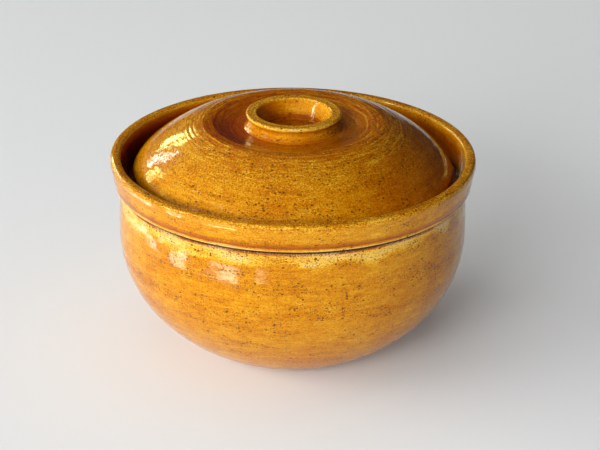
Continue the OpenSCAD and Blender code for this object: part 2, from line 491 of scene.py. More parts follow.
class Effects:
    """Node groups that the finishes share, each built once."""

    THINNEST = 0.3                                # share of the usual thickness that glaze never goes below
    SEAM_AND_SHADOW_COLOUR = (0.045, 0.014, 0.002, 1)        # glaze caught in the seat under the collar, darkened further as painted shadow under the hem

    def __init__(self) -> None:
        """Builds the groups."""
        self.specks = self.iron_specks()
        self.lines = self.throwing_lines()
        self.coat = self.glaze_coat()
        self.skin = self.glaze_skin()

    def iron_specks(self) -> bpy.types.NodeTree:
        """Dark spots: round each scattered point, out to a radius that differs from one to the next.

        Returns:
            The group. It gives a mask.
        """
        g, take, give = new_group(
            "iron specks",
            {"Per metre": (FLOAT, 400.0), "Radius": (FLOAT, 0.2), "Share": (FLOAT, 0.5)},
            {"Mask": FLOAT},
        )
        smallest = 0.35
        cells = g.add("TexVoronoi", {"Vector": g.place((1, 1, 1.5)), "Scale": take["Per metre"]}).outputs
        draw = g.add("SeparateColor", {"Color": cells["Color"]}).outputs
        radius = g.math("MULTIPLY", take["Radius"], g.math("ADD", smallest, draw[0]))
        inside = g.math("SUBTRACT", 1.0, g.math("DIVIDE", cells["Distance"], radius))
        chosen = g.math("LESS_THAN", draw[1], take["Share"])
        g.tree.links.new(g.math("MULTIPLY", g.step(inside, 0.0, 0.4), chosen), give["Mask"])
        return g.tree

    def throwing_lines(self) -> bpy.types.NodeTree:
        """Noise drawn out round the axis: slow across the piece, fast along its section.

        Returns:
            The group. It gives a value about 0.5.
        """
        g, take, give = new_group(
            "throwing lines", {"Per metre": (FLOAT, 300.0), "Drift": (FLOAT, 9.0)}, {"Value": FLOAT}
        )
        spot = g.add("SeparateXYZ", {"Vector": g.place()}).outputs
        feeds = {
            "X": g.math("MULTIPLY", spot[0], take["Drift"]),
            "Y": g.math("MULTIPLY", spot[1], take["Drift"]),
            "Z": g.math("MULTIPLY", g.mark("along"), take["Per metre"]),
        }
        drawn = g.add("CombineXYZ", feeds).outputs[0]
        g.tree.links.new(g.noise(drawn, 1.0, 4.0, 0.6), give["Value"])
        return g.tree

    def glaze_coat(self) -> bpy.types.NodeTree:
        """Colour of a see-through glaze by its thickness, with grain and specks in it.

        The glaze's own colour, channel by channel, is raised to the power of its local
        thickness and multiplied by the colour of what lies under it. The mark that thickens
        it also carries painted shade, and the mark that pales it also carries a painted highlight.

        Returns:
            The group. It gives the colour, and a mask of the specks.
        """
        g, take, give = new_group(
            "glaze coat",
            {
                **{key: (COLOUR, (1, 1, 1, 1)) for key in ("Glass", "Under", "Speck", "Clay", "Bloom")},
                "Mottle": (FLOAT, 1.0),
                "Grain": (FLOAT, 1.0),
            },
            {"Color": COLOUR, "Specks": FLOAT},
        )
        # The thickness drifts in throwing lines, clouds and blotches, and with the grain.
        thin_and_highlight, pool_and_shade, ring = g.mark("thin_and_highlight"), g.mark("pool_and_shade"), g.mark("ring")
        cloud = g.noise(g.place(), 34.0, 3.0, 0.55)
        blotch = g.noise(g.place((1, 1, 1.6)), 150.0, 3.0, 0.6)
        grain = g.noise(g.place((1, 1, 1.4)), 850.0, 2.0, 0.8)
        fine, middle, broad = (
            g.effect(self.lines, per_metre=per_metre, drift=drift)["Value"]
            for per_metre, drift in ((700.0, 110.0), (330.0, 50.0), (130.0, 15.0))
        )
        slow = g.more(broad, 0.55, g.more(middle, 0.55, -0.55))
        lines = g.math("MULTIPLY", g.math("SUBTRACT", fine, 0.5), g.more(ring, 1.8, 1.1))
        drift = g.more(slow, g.more(ring, -0.8, 1.0), lines)
        drift = g.swing(blotch, 0.6, g.swing(cloud, 0.7, drift))
        sand = g.math("MULTIPLY", g.more(g.mark("sand"), 3.4, 0.5), take["Grain"])
        drift = g.swing(grain, sand, g.math("MULTIPLY", drift, take["Mottle"]))
        thick = g.math("ADD", g.more(pool_and_shade, 1.15, g.more(thin_and_highlight, -0.62, 1.0)), drift)
        thick = g.math("MAXIMUM", thick, self.THINNEST)
        # The colour comes from the thickness, which carries painted shade too, and pales where the glaze has
        # worn through and where a highlight is painted.
        passed = g.add("Gamma", {"Color": take["Glass"], "Gamma": thick}).outputs[0]
        base = g.multiply(take["Under"], passed)
        base = g.mix(g.step(g.swing(grain, 2.0, thin_and_highlight), 1.0, 1.6, 0.8), base, take["Bloom"])
        # Iron: dust by the sand's mark, large and small specks in patches, and the dark seam, which is pooled
        # glaze and painted shadow under the collar's hem.
        dust = g.effect(self.specks, per_metre=900.0, radius=0.5, share=g.mark("sand"))["Mask"]
        base = g.mix(g.math("MULTIPLY", dust, 0.55), base, take["Speck"])
        patch = g.swing(broad, 1.3, g.noise(g.place(), 80.0, 3.0))
        large, small = (
            g.effect(self.specks, per_metre=per_metre, radius=0.36, share=g.step(patch, *share))["Mask"]
            for per_metre, share in ((400.0, (0.38, 0.70, 0.85)), (800.0, (0.34, 0.72, 0.9)))
        )
        specks = g.math("MAXIMUM", large, small)
        seam_and_shadow = g.step(pool_and_shade, 2.2, 3.6)
        base = g.mix(seam_and_shadow, g.mix(specks, base, take["Speck"]), self.SEAM_AND_SHADOW_COLOUR)
        g.tree.links.new(g.mix(g.mark("bare"), base, take["Clay"]), give["Color"])
        g.tree.links.new(g.math("MAXIMUM", specks, seam_and_shadow), give["Specks"])
        return g.tree

    def glaze_skin(self) -> bpy.types.NodeTree:
        """Height of the glaze's surface in metres: slow waves, orange peel, throwing lines and pits.

        Returns:
            The group. It takes the specks' mask and gives the height.
        """
        g, take, give = new_group(
            "glaze skin",
            {"Specks": (FLOAT, 0.0), "Wave": (FLOAT, 80e-6), "Peel": (FLOAT, 7e-6), "Line": (FLOAT, 30e-6)},
            {"Height": FLOAT},
        )
        pit = -10e-6
        wave = g.noise(g.place((1, 1, 1.6)), 95.0, 2.0, 0.45)
        peel = g.noise(g.place(), 520.0, 2.0, 0.5)
        lines = g.effect(self.lines, per_metre=420.0)["Value"]
        deep = g.math("MULTIPLY", take["Line"], g.more(g.mark("ring"), 2.5, 1.0))
        height = g.more(peel, take["Peel"], g.math("MULTIPLY", wave, take["Wave"]))
        height = g.more(take["Specks"], pit, g.more(lines, deep, height))
        g.tree.links.new(height, give["Height"])
        return g.tree


@dataclass(frozen=True)
class GlazeFinish:
    """A glossy iron glaze over buff clay, as the light that one thickness of it lets through."""

    slot: Slot
    glass: tuple[float, float, float]
    under: tuple[float, float, float] = (0.98, 0.71, 0.20)
    speck: tuple[float, float, float] = (0.16, 0.052, 0.001)
    clay: tuple[float, float, float] = (0.50, 0.34, 0.20)
    bloom: tuple[float, float, float] = (0.80, 0.58, 0.27)
    mottle: float = 1.0
    grain: float = 1.0
    roughness: float = 0.07
    unevenness: float = 0.05
    speck_roughness: float = 0.2
    clay_roughness: float = 0.85
    ior: float = 1.40
    sheen: tuple[float, float, float] = (1.0, 0.88, 0.6)

    def material(self, effects: Effects) -> bpy.types.Material:
        """Builds the finish.

        Args:
            effects: The shared node groups.

        Returns:
            The material.
        """
        material, g = start_material(self.slot.value)
        coat = g.effect(
            effects.coat, glass=(*self.glass, 1), under=(*self.under, 1), speck=(*self.speck, 1),
            clay=(*self.clay, 1), bloom=(*self.bloom, 1), mottle=self.mottle, grain=self.grain,
        )
        skin = g.effect(effects.skin, specks=coat["Specks"])
        rough = g.more(g.noise(g.place(), 240.0), 2 * self.unevenness, self.roughness - self.unevenness)
        rough = g.more(coat["Specks"], self.speck_roughness, rough)
        rough = g.math("MAXIMUM", rough, g.math("MULTIPLY", g.mark("bare"), self.clay_roughness))
        g.finish({
            "Base Color": coat["Color"], "Roughness": rough, "Normal": g.bumped(skin["Height"]),
            "IOR": self.ior, "Specular Tint": (*self.sheen, 1),
        })
        return material


@dataclass(frozen=True)
class ClayFinish:
    """Bare fired clay with grog in it, a little stained by brine."""

    slot: Slot
    light: tuple[float, float, float] = (0.60, 0.46, 0.32)
    dark: tuple[float, float, float] = (0.43, 0.30, 0.19)
    grog: tuple[float, float, float] = (0.20, 0.12, 0.07)
    roughness: float = 0.85
    unevenness: float = 0.08
    grain_height: float = 120e-6        # metres, as the next one
    grog_height: float = 80e-6

    def material(self, effects: Effects) -> bpy.types.Material:
        """Builds the finish.

        Args:
            effects: The shared node groups.

        Returns:
            The material.
        """
        material, g = start_material(self.slot.value)
        cloud = g.noise(g.place(), 45.0, 5.0, 0.6)
        grain = g.noise(g.place(), 1400.0, 3.0, 0.65)
        specks = g.effect(effects.specks, per_metre=420.0, radius=0.22, share=0.35)["Mask"]
        share = g.step(g.more(grain, 0.4, g.math("MULTIPLY", cloud, 0.8)), 0.38, 0.82)
        base = g.mix(share, (*self.light, 1), (*self.dark, 1))
        base = g.mix(g.math("MULTIPLY", specks, 0.7), base, (*self.grog, 1))
        height = g.more(grain, self.grain_height, g.math("MULTIPLY", specks, self.grog_height))
        rough = g.more(cloud, 2 * self.unevenness, self.roughness - self.unevenness)
        g.finish({"Base Color": base, "Roughness": rough, "Normal": g.bumped(height)})
        return material


def start_material(name: str) -> tuple[bpy.types.Material, Graph]:
    """Makes an empty material and returns it with the graph of its nodes."""
    material = bpy.data.materials.new(name)
    material.use_nodes = True
    material.node_tree.nodes.clear()
    return material, Graph(material.node_tree)


class Dresser:
    """Gives pieces their finish and body, and hides the solid that each stands for."""

    def __init__(self) -> None:
        """Builds the finishes."""
        effects = Effects()
        finishes = [
            GlazeFinish(Slot.AMBER, glass=(0.605, 0.31, 0.012)),
            GlazeFinish(Slot.HONEY, glass=(0.625, 0.34, 0.02), grain=1.3),
            ClayFinish(Slot.CLAY),
        ]
        self.materials = {f.slot: f.material(effects) for f in finishes}

    def dress(self, piece: bpy.types.Object, slot: Slot, body: Body, node: str) -> bpy.types.Object:
        """Finishes one piece.

        Args:
            piece: The piece.
            slot: The finish's slot.
            body: The body that it rides on.
            node: The solid that it stands for.

        Returns:
            The piece.
        """
        piece.data.materials.append(self.materials[slot])
        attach(piece, body.value)
        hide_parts(node)
        log.info("%s: %d faces, rides on %s", piece.name, len(piece.data.polygons), body.value)
        return piece


@dataclass
class Crock:
    """The thrown bowl with its channel and neck, and the collar round it, in millimetres."""

    bowl: tuple = field(default_factory=lambda: node_box("crock_body"))
    collar: tuple = field(default_factory=lambda: node_box("channel_collar"))
    foot_radius: float = 60.0
    foot_hollow: float = 2.5
    foot_ring: float = 9.0
    wall: float = 7.5
    floor: float = 9.0
    belly_share: float = 0.7
    shoulder_rise: float = 200.0
    channel_radius: float = 109.0
    channel_sink: float = 1.0
    neck_radius: float = 92.0
    neck_wall: float = 6.0
    shelf: float = 7.5
    arch: tuple = (6.0, 14.0)
    foot_round: float = 1.5
    curve_start: float = 2.5
    fillet: float = 2.0
    shelf_round: float = 2.5
    corner_rise: float = 3.0
    corner_reach: float = 9.0
    hem_inset: float = 2.8
    hem_round: float = 1.5
    lip_half: tuple = (3.7, 3.4)
    lip_fullness: float = 0.7
    band_lean: float = 2.4
    band_hollow: float = 0.35
    drip: float = 11.0
    pale_glaze: float = 1.1
    sink: float = 0.12                  # keeps the rings inside the solid
    around: int = 400

    def __post_init__(self) -> None:
        """Works out the sizes that follow from the solids' boxes."""
        self.belly = float(self.bowl[1][0])
        self.neck_top = float(self.bowl[1][2])
        self.rim = float(self.collar[1][0])
        self.ledge = float(self.collar[0][2])
        self.top = float(self.collar[1][2])
        self.belly_height = self.ledge * self.belly_share
        self.rise = self.belly_height / math.sqrt(1 - (self.foot_radius / self.belly) ** 2)

    def bowl_section(self) -> Section:
        """Draws the bowl from the middle of its foot, up the outside and down the inside.

        Returns:
            The outline, which starts and ends on the axis.
        """
        inner, inner_rise = self.belly - self.wall, self.rise - self.floor
        shoulder = self.shoulder_rise
        channel = self.ledge - self.channel_sink
        mouth = self.neck_radius - self.neck_wall
        shelf = channel - self.shelf
        arch, arch_rise = self.arch
        half_neck = self.neck_wall / 2
        hollow = self.foot_radius - self.foot_ring
        low = self.tilt(self.curve_start, self.rise)
        high = self.tilt(self.ledge, shoulder)
        corner = self.tilt(self.floor + self.corner_rise, inner_rise)
        flat = inner * math.cos(math.radians(corner)) - self.corner_reach
        return (
            Section(closed=False)
            .line((0, self.foot_hollow), (hollow - self.foot_hollow, self.foot_hollow), (hollow, 0))
            .arc((self.foot_radius - self.foot_round, self.foot_round), (self.foot_round,) * 2, -90, -30)
            .arc((0, self.belly_height), (self.belly, self.rise), low, 0)
            .arc((0, self.belly_height), (self.belly, shoulder), 1, high)
            .line((self.channel_radius, self.ledge), (self.channel_radius, channel))
            .line((self.neck_radius + self.fillet, channel), (self.neck_radius, channel + self.fillet))
            .arc((self.neck_radius - half_neck, self.neck_top - half_neck), (half_neck, half_neck), 0, 180)
            .arc((mouth + self.shelf_round, shelf + self.shelf_round), (self.shelf_round,) * 2, 180, 270)
            .arc((mouth + arch, shelf - arch_rise), (inner - mouth - arch, arch_rise), 90, 0)
            .arc((0, self.belly_height), (inner, inner_rise), 0, corner)
            .line((flat, self.floor), (0, self.floor))
        )

    def tilt(self, height: float, rise: float) -> float:
        """Gives the angle in degrees at which an ellipse round the belly reaches a height."""
        return math.degrees(math.asin((height - self.belly_height) / rise))

    def collar_section(self) -> Section:
        """Draws the collar: seat, beaded hem, hollow band, full round lip and leaning inside.

        The lip is half an ellipse whose cosine and sine are raised to a power below one.

        Returns:
            The closed outline.
        """
        hem = self.rim - self.hem_inset
        half, rise = self.lip_half
        lip_height = self.top - rise
        s = np.linspace(0.88, 0.12, 12)
        band = self.rim - self.band_lean * s * (1 + 2 * s) / 3 - self.band_hollow * np.sin(math.pi * s) ** 2
        height = lip_height - (lip_height - self.ledge - 2 * self.hem_round) * s
        t = np.radians(np.linspace(0, 180, 41))
        across, up = (np.sign(u) * np.abs(u) ** self.lip_fullness for u in (np.cos(t), np.sin(t)))
        return (
            Section(closed=True)
            .line((self.channel_radius, self.ledge))
            .arc((hem - self.hem_round, self.ledge + self.hem_round), (self.hem_round,) * 2, -90, 30)
            .line(*zip(band, height))
            .line(*zip(self.rim - half + half * across, lip_height + rise * up))
        )

    def make_bowl(self) -> bpy.types.Object:
        """Turns the bowl, with throwing rings and slow dents.

        Returns:
            The bowl's object.
        """
        st = self.bowl_section().stations(count=240, soft=0.45)
        turned = Turning(st, angles_round(self.around))
        outside = (st.out > 0.05) & (st.height < self.ledge - 0.3) & (st.radius > self.foot_radius)
        calm = smooth_step(0, 8, st.height) * smooth_step(self.ledge, self.ledge - 5, st.height)
        rings = turned.waves(seed=3, depth=0.07, lengths=(4.0, 16.0))
        rings = rings + turned.waves(seed=4, depth=0.025, lengths=(1.6, 3.5), turns=0)
        dents = turned.waves(seed=5, depth=0.10, lengths=(60.0, 160.0), turns=3, count=8)
        points = turned.points((rings + dents) * outside * calm)
        return turned.make("crock_bowl", points, self.bowl_marks(turned, outside))

    def bowl_marks(self, turned: Turning, outside: np.ndarray) -> dict[str, np.ndarray]:
        """Marks the bowl's glaze.

        It is thin and pale below the collar, down to a ragged line of drips. It fills the
        channel and pools deep in the seat under the collar, into a dark line that is partly
        painted shadow under the collar's hem. The ring that the crock stands on is bare.

        Args:
            turned: The turned bowl.
            outside: True at the stations of the outer wall.

        Returns:
            Values by the marks' names.
        """
        st = turned.stations
        marks = glaze_marks(st)
        ragged = turned.waves(seed=6, depth=2.2, lengths=(9.0, 60.0), turns=28, count=30, level=True)
        drips = self.drip + ragged
        pale = smooth_step(-drips - 2, -drips + 2, st.height - self.ledge) * outside
        streak = self.pale_glaze + turned.waves(seed=7, depth=0.2, lengths=(4.0, 30.0), turns=20, count=30)
        # Deep pool in the seat: pooled glaze that also paints the shadow below the collar's hem.
        seat = 4.0 * smooth_step(self.ledge - 3.9, self.ledge - 3.1, st.height) * outside
        channel = 1.5 * (st.height > self.ledge - 6) * ~outside * (st.radius > self.neck_radius - 2)
        marks["thin_and_highlight"] = np.clip(marks["thin_and_highlight"] + pale * streak, 0, 1.4)
        marks["sand"] = 0.3 + 0.5 * pale
        marks["pool_and_shade"] = marks["pool_and_shade"] + seat + channel
        marks["bare"] = smooth_step(0.9, 0.3, st.height) * (st.radius > self.foot_radius - self.foot_ring - 1)
        return marks

    def make_collar(self) -> bpy.types.Object:
        """Turns the collar, with shallow rings on its band.

        Returns:
            The collar's object.
        """
        st = self.collar_section().stations(count=110, soft=0.35)
        turned = Turning(st, angles_round(self.around))
        free = smooth_step(self.ledge, self.ledge + 3, st.height)
        rings = turned.waves(seed=11, depth=0.05, lengths=(2.5, 8.0), turns=2)
        points = turned.points((rings - self.sink) * free)
        return turned.make("crock_collar", points, self.collar_marks(turned))

    def collar_marks(self, turned: Turning) -> dict[str, np.ndarray]:
        """Marks the collar's glaze.

        It is thick on the band and inside, and the inside is darkened further as painted
        shade, most on the left. It is thin on the bead of the hem and broken along the lip's
        outer edge, and grainy on the lip.

        Args:
            turned: The turned collar.

        Returns:
            Values by the marks' names.
        """
        st = turned.stations
        marks = glaze_marks(st)
        above, below = st.height - self.ledge, self.top - st.height
        band = smooth_step(7, 4, above) * smooth_step(2, 3, above) * (st.out > 0.4)
        inside = (st.out < -0.4) * smooth_step(1, 9, below)
        lip = smooth_step(3.5, 2.0, below) * (st.out > -0.7)
        bead = 0.9 * (st.out > -0.3) * smooth_step(1.6, 0.8, above)
        drift = turned.waves(seed=12, depth=0.16, lengths=(20.0, 90.0), turns=11, count=16)
        broken = 0.5 + turned.waves(seed=13, depth=0.5, lengths=(2.0, 8.0), turns=60, count=90)
        edge = 0.7 * bump_at(1.8, 0.7, below) * (st.out > 0.1) * np.clip(broken, 0, 1)
        # The inside's pool is deepened as painted shade, most on the left.
        marks["pool_and_shade"] = marks["pool_and_shade"] + 0.6 * band + inside * (1.7 - 0.9 * np.cos(turned.angle)) + 0.22 * lip
        marks["thin_and_highlight"] = np.clip((0.4 * marks["thin_and_highlight"] + bead) * (1 + drift) + edge, 0, 1.3)
        marks["sand"] = 0.25 + 0.75 * smooth_step(4, 1.5, below) * (st.out > -0.7)
        return marks

    def build(self, dresser: Dresser) -> list[bpy.types.Object]:
        """Makes and dresses the crock's two pieces.

        Args:
            dresser: Holds the finishes.

        Returns:
            The pieces.
        """
        return [
            dresser.dress(self.make_bowl(), Slot.AMBER, Body.CROCK, "crock_body"),
            dresser.dress(self.make_collar(), Slot.HONEY, Body.CROCK, "channel_collar"),
        ]


@dataclass
class Lid:
    """The domed lid and its ring knob, in millimetres."""

    shell: tuple = field(default_factory=lambda: node_box("lid_shell"))
    knob: tuple = field(default_factory=lambda: node_box("lid_knob"))
    skirt: float = 10.0
    wall: float = 7.0
    edge: float = 7.5
    edge_round: float = 3.0
    ridge_radius: float = 59.0
    dome_extra: float = 5.0
    peak_drop: float = 1.4
    foot_round: float = 2.0
    knob_mouth: float = 24.0
    cup_inset: float = 3.0
    cup_depth: float = 2.8
    waist_inset: float = 2.2
    lip_half: tuple = (1.4, 1.5)
    mouth_round: float = 1.2
    notch: float = 4.5
    notch_drop: float = 0.5
    crests: tuple = (43.0, 48.5, 53.4, 55.0, 57.6, 59.4, 62.4, 63.8, 66.6, 69.8, 73.4, 76.0)
    crest_height: float = 0.10
    crowding: float = 0.34
    sink: float = 0.15                  # keeps the knob's rings inside the solid
    around: int = 300
    knob_around: int = 256

    def __post_init__(self) -> None:
        """Works out the sizes that follow from the solids' boxes."""
        self.radius = float(self.shell[1][0])
        self.low = float(self.shell[0][2])
        self.ridge = float(self.shell[1][2])
        self.knob_radius = float(self.knob[1][0])
        self.seat = float(self.knob[0][2])
        self.knob_top = float(self.knob[1][2])
        self.dome = self.radius + self.dome_extra
        self.cup = self.knob_mouth - self.cup_inset
        start, end = (math.sqrt(1 - (r / self.dome) ** 2) for r in (self.radius, self.ridge_radius))
        self.rise = (self.ridge - self.low - self.skirt) / (end - start)
        self.centre = self.ridge - self.rise * end

    def shell_section(self) -> Section:
        """Draws the lid from the middle of its underside, out to the edge and back over the top.

        Returns:
            The outline, which starts and ends on the axis.
        """
        under, under_rise = self.dome - self.wall, self.rise - self.wall
        inner = self.radius - self.edge
        peak = self.ridge - self.wall - self.peak_drop
        ridge = under * math.sqrt(1 - ((peak - self.centre) / under_rise) ** 2)
        cup, foot, edge = self.cup, self.foot_round, self.edge_round
        floor = self.seat - self.cup_depth
        inner_start, inner_end = (math.degrees(math.acos(r / under)) for r in (ridge, inner))
        outer_start, outer_end = (
            math.degrees(math.acos(r / self.dome)) for r in (self.radius, self.ridge_radius)
        )
        return (
            Section(closed=False)
            .line((0, floor - self.wall), (cup - 2, floor - self.wall))
            .sway((cup + 4, self.seat - self.wall - 0.6), (ridge - 2, peak - 0.1))
            .arc((0, self.centre), (under, under_rise), inner_start, inner_end)
            .arc((inner + foot, self.low + foot), (foot, foot), 180, 270)
            .arc((self.radius - edge, self.low + edge), (edge, edge), -90, 0)
            .arc((0, self.centre), (self.dome, self.rise), outer_start, outer_end)
            .sway((self.ridge_radius - 2, self.ridge - 0.1), (self.knob_radius + 4, self.seat))
            .line((cup + 1.5, self.seat), (cup - 0.3, self.seat - 0.8), (cup - 2, floor), (0, floor))
        )

    def knob_section(self) -> Section:
        """Draws the ring knob: flared foot, waist, round lip and tapering mouth.

        Returns:
            The closed outline.
        """
        waist, cup = self.knob_radius - self.waist_inset, self.cup
        seat, top = self.seat, self.knob_top
        lip, lip_rise = self.lip_half
        mouth = self.mouth_round
        return (
            Section(closed=True)
            .line((cup - 2, seat - 1.4), (cup + 2, seat - 1.4), (waist + 3.4, seat - 0.4))
            .line((waist + 1.5, seat + 0.9), (waist + 0.7, seat + 2.4), (waist, top - 4.6))
            .arc((self.knob_radius - lip, top - lip_rise), self.lip_half, -75, 90)
            .arc((self.knob_mouth + mouth, top - mouth), (mouth, mouth), 90, 180)
        )

    def make_shell(self) -> bpy.types.Object:
        """Turns the lid, with rings round its dished top and two half-round notches in its edge.

        The angles crowd towards the notches: each is an even one less a part of the sine
        of twice itself. A notch lifts the skirt so that its foot follows a circle.

        Returns:
            The lid's object.
        """
        st = self.shell_section().stations(count=330, soft=0.4, dense=(38, 78, 3.0))
        even = angles_round(self.around)
        turned = Turning(st, even - self.crowding * np.sin(2 * even))
        top = (st.up > 0.02) & (st.height > self.low + self.skirt - 1)
        upper = smooth_step(self.low + self.skirt, self.low + self.skirt + 6, st.height) * top
        crest = self.crest_heights(turned)
        groove = 0.25 * bump_at(59.4, 4.0, st.radius)
        rings = turned.waves(seed=22, depth=0.05, lengths=(2.2, 7.0)) * bump_at(50, 24, st.radius)
        rings = rings + turned.waves(seed=23, depth=0.035, lengths=(2.5, 9.0))
        dents = turned.waves(seed=24, depth=0.10, lengths=(40.0, 110.0), turns=4, count=10)
        relief = (self.crest_height * crest - groove + rings + dents) * upper
        points = self.notched(turned.points(relief))
        return turned.make("lid_shell_glazed", points, self.shell_marks(turned, top, crest))

    def shell_marks(self, turned: Turning, top: np.ndarray, crest: np.ndarray) -> dict[str, np.ndarray]:
        """Marks the lid's glaze.

        It is thick in the dished top and on the skirt. The dome's right is darkened as painted
        shade, and the dish is darkened on the left and lightened on the right as painted shade
        and light, with a painted dark reflection in a patch beside the knob on the left. It is
        thin on the crests, fine-ringed round the dish and bare under the skirt's edge.

        Args:
            turned: The turned lid.
            top: True at the stations of the dome and the dish.
            crest: Height of the crests, by angle and station.

        Returns:
            Values by the marks' names.
        """
        st, angle = turned.stations, turned.angle
        marks = glaze_marks(st)
        r, free = st.radius, st.radius > self.knob_radius
        right, left = (smooth_step(0.1, 1, side * np.cos(angle)) for side in (1, -1))
        painted_dark_reflection = smooth_step(0.75, 1, np.cos(angle - math.radians(205))) * bump_at(47, 9, r)
        dish = 0.25 * smooth_step(78, 60, r) + 0.32 * smooth_step(66, 52, r) + 0.05 * (r < self.knob_mouth)
        # Painted shade and light: the dome's right darkens and the dish's right lightens.
        dish = dish + right * (0.5 * smooth_step(64, 84, r) - 0.15 * smooth_step(62, 52, r) * free)
        # Painted shade on the dish's left, and a painted dark reflection in a patch beside the knob.
        dish = dish + left * 0.35 * smooth_step(60, 50, r) * free + 0.6 * painted_dark_reflection
        skirt = 1.5 * smooth_step(2, -4, st.height - self.low - self.skirt) * (st.out > -0.2)
        marks["pool_and_shade"] = np.minimum(marks["pool_and_shade"] * ~top + dish * top + skirt, 1.8)
        marks["thin_and_highlight"] = marks["thin_and_highlight"] * 0.15 * free + crest * top
        marks["sand"] = 0.4 + 0.35 * smooth_step(50, 60, r) * smooth_step(100, 80, r)
        marks["ring"] = smooth_step(82, 62, r) * smooth_step(42, 50, r) * top
        marks["bare"] = smooth_step(0.7, 0.2, st.height - self.low)
        return marks

    def crest_heights(self, turned: Turning) -> np.ndarray:
        """Fine crests round the dished top: bells over the radius that fade in and out round the lid.

        Args:
            turned: The turned lid.

        Returns:
            Crests from 0 to about 1, by angle and station.
        """
        r = turned.stations.radius
        total = np.zeros((len(turned.angle), len(r)))
        for i, at in enumerate(self.crests):
            fading = turned.waves(seed=60 + i, depth=0.45, lengths=(50.0, 90.0), turns=7, count=9, level=True)
            strength = (0.45 + fading) * bump_at(60.0, 15.0, np.array(at))
            total += np.clip(strength, 0, 1) * bump_at(at, 0.5, r + 0.3 * np.cos(turned.angle + i))
        return total

    def notched(self, points: np.ndarray) -> np.ndarray:
        """Lifts the foot of the skirt over the notches.

        Args:
            points: Positions in millimetres.

        Returns:
            The positions, with heights below the skirt's top drawn up from the circle.
        """
        across = np.abs(points[..., 1])
        skirt_top = self.low + self.skirt
        rise = np.sqrt(np.clip(self.notch ** 2 - across ** 2, 0, None)) - self.notch_drop
        floor = self.low + np.clip(rise, 0, None)
        reach = np.hypot(points[..., 0], points[..., 1]) > self.radius - self.edge - 1
        low = reach & (points[..., 2] < skirt_top)
        lifted = floor + (points[..., 2] - self.low) * (skirt_top - floor) / self.skirt
        points[..., 2] = np.where(low, lifted, points[..., 2])
        return points

    def make_knob(self) -> bpy.types.Object:
        """Turns the ring knob.

        Returns:
            The knob's object.
        """
        st = self.knob_section().stations(count=120, soft=0.35)
        turned = Turning(st, angles_round(self.knob_around))
        rings = turned.waves(seed=31, depth=0.05, lengths=(2.5, 8.0), turns=2)
        dents = turned.waves(seed=32, depth=0.12, lengths=(30.0, 70.0), turns=3, count=8)
        free = smooth_step(self.seat, self.seat + 2, st.height)
        points = turned.points((rings + dents - self.sink) * free)
        return turned.make("lid_knob_glazed", points, self.knob_marks(turned))

    def knob_marks(self, turned: Turning) -> dict[str, np.ndarray]:
        """Marks the knob's glaze: thick at its foot, darker inside on the left as painted shade, and paler
        towards the front of its lip, with a broken pale front edge as a painted highlight.

        Args:
            turned: The turned knob.

        Returns:
            Values by the marks' names.
        """
        st, angle = turned.stations, turned.angle
        marks = glaze_marks(st)
        below = self.knob_top - st.height
        foot = smooth_step(1.3, 0.4, st.height - self.seat)
        inside = (st.radius < self.knob_mouth + 1) * smooth_step(0.5, 2.5, below)
        # Painted shade: the inside of the ring darkens on the left.
        shade = 0.8 * inside * smooth_step(0, 1, np.cos(angle - math.radians(170)))
        # Painted light: the lip's thin glaze grows paler towards the front, and its broken front edge is a
        # painted highlight.
        front = smooth_step(-0.2, 0.9, -np.sin(angle))
        broken = 0.5 + turned.waves(seed=33, depth=0.5, lengths=(2.0, 8.0), turns=20, count=40)
        edge = bump_at(1.0, 0.8, below) * (st.out > 0.1) * np.clip(broken, 0, 1)
        marks["pool_and_shade"] = np.clip(marks["pool_and_shade"] * 0.3 + 0.7 * foot + shade, 0, 1)
        marks["thin_and_highlight"] = marks["thin_and_highlight"] * (0.25 + 0.35 * front) + 0.9 * edge * front
        marks["sand"] = 0.2 + 0.8 * smooth_step(1.6, 0.6, below)
        return marks

    def build(self, dresser: Dresser) -> list[bpy.types.Object]:
        """Makes and dresses the lid's two pieces.

        Args:
            dresser: Holds the finishes.

        Returns:
            The pieces.
        """
        return [
            dresser.dress(self.make_shell(), Slot.AMBER, Body.LID, "lid_shell"),
            dresser.dress(self.make_knob(), Slot.HONEY, Body.LID, "lid_knob"),
        ]


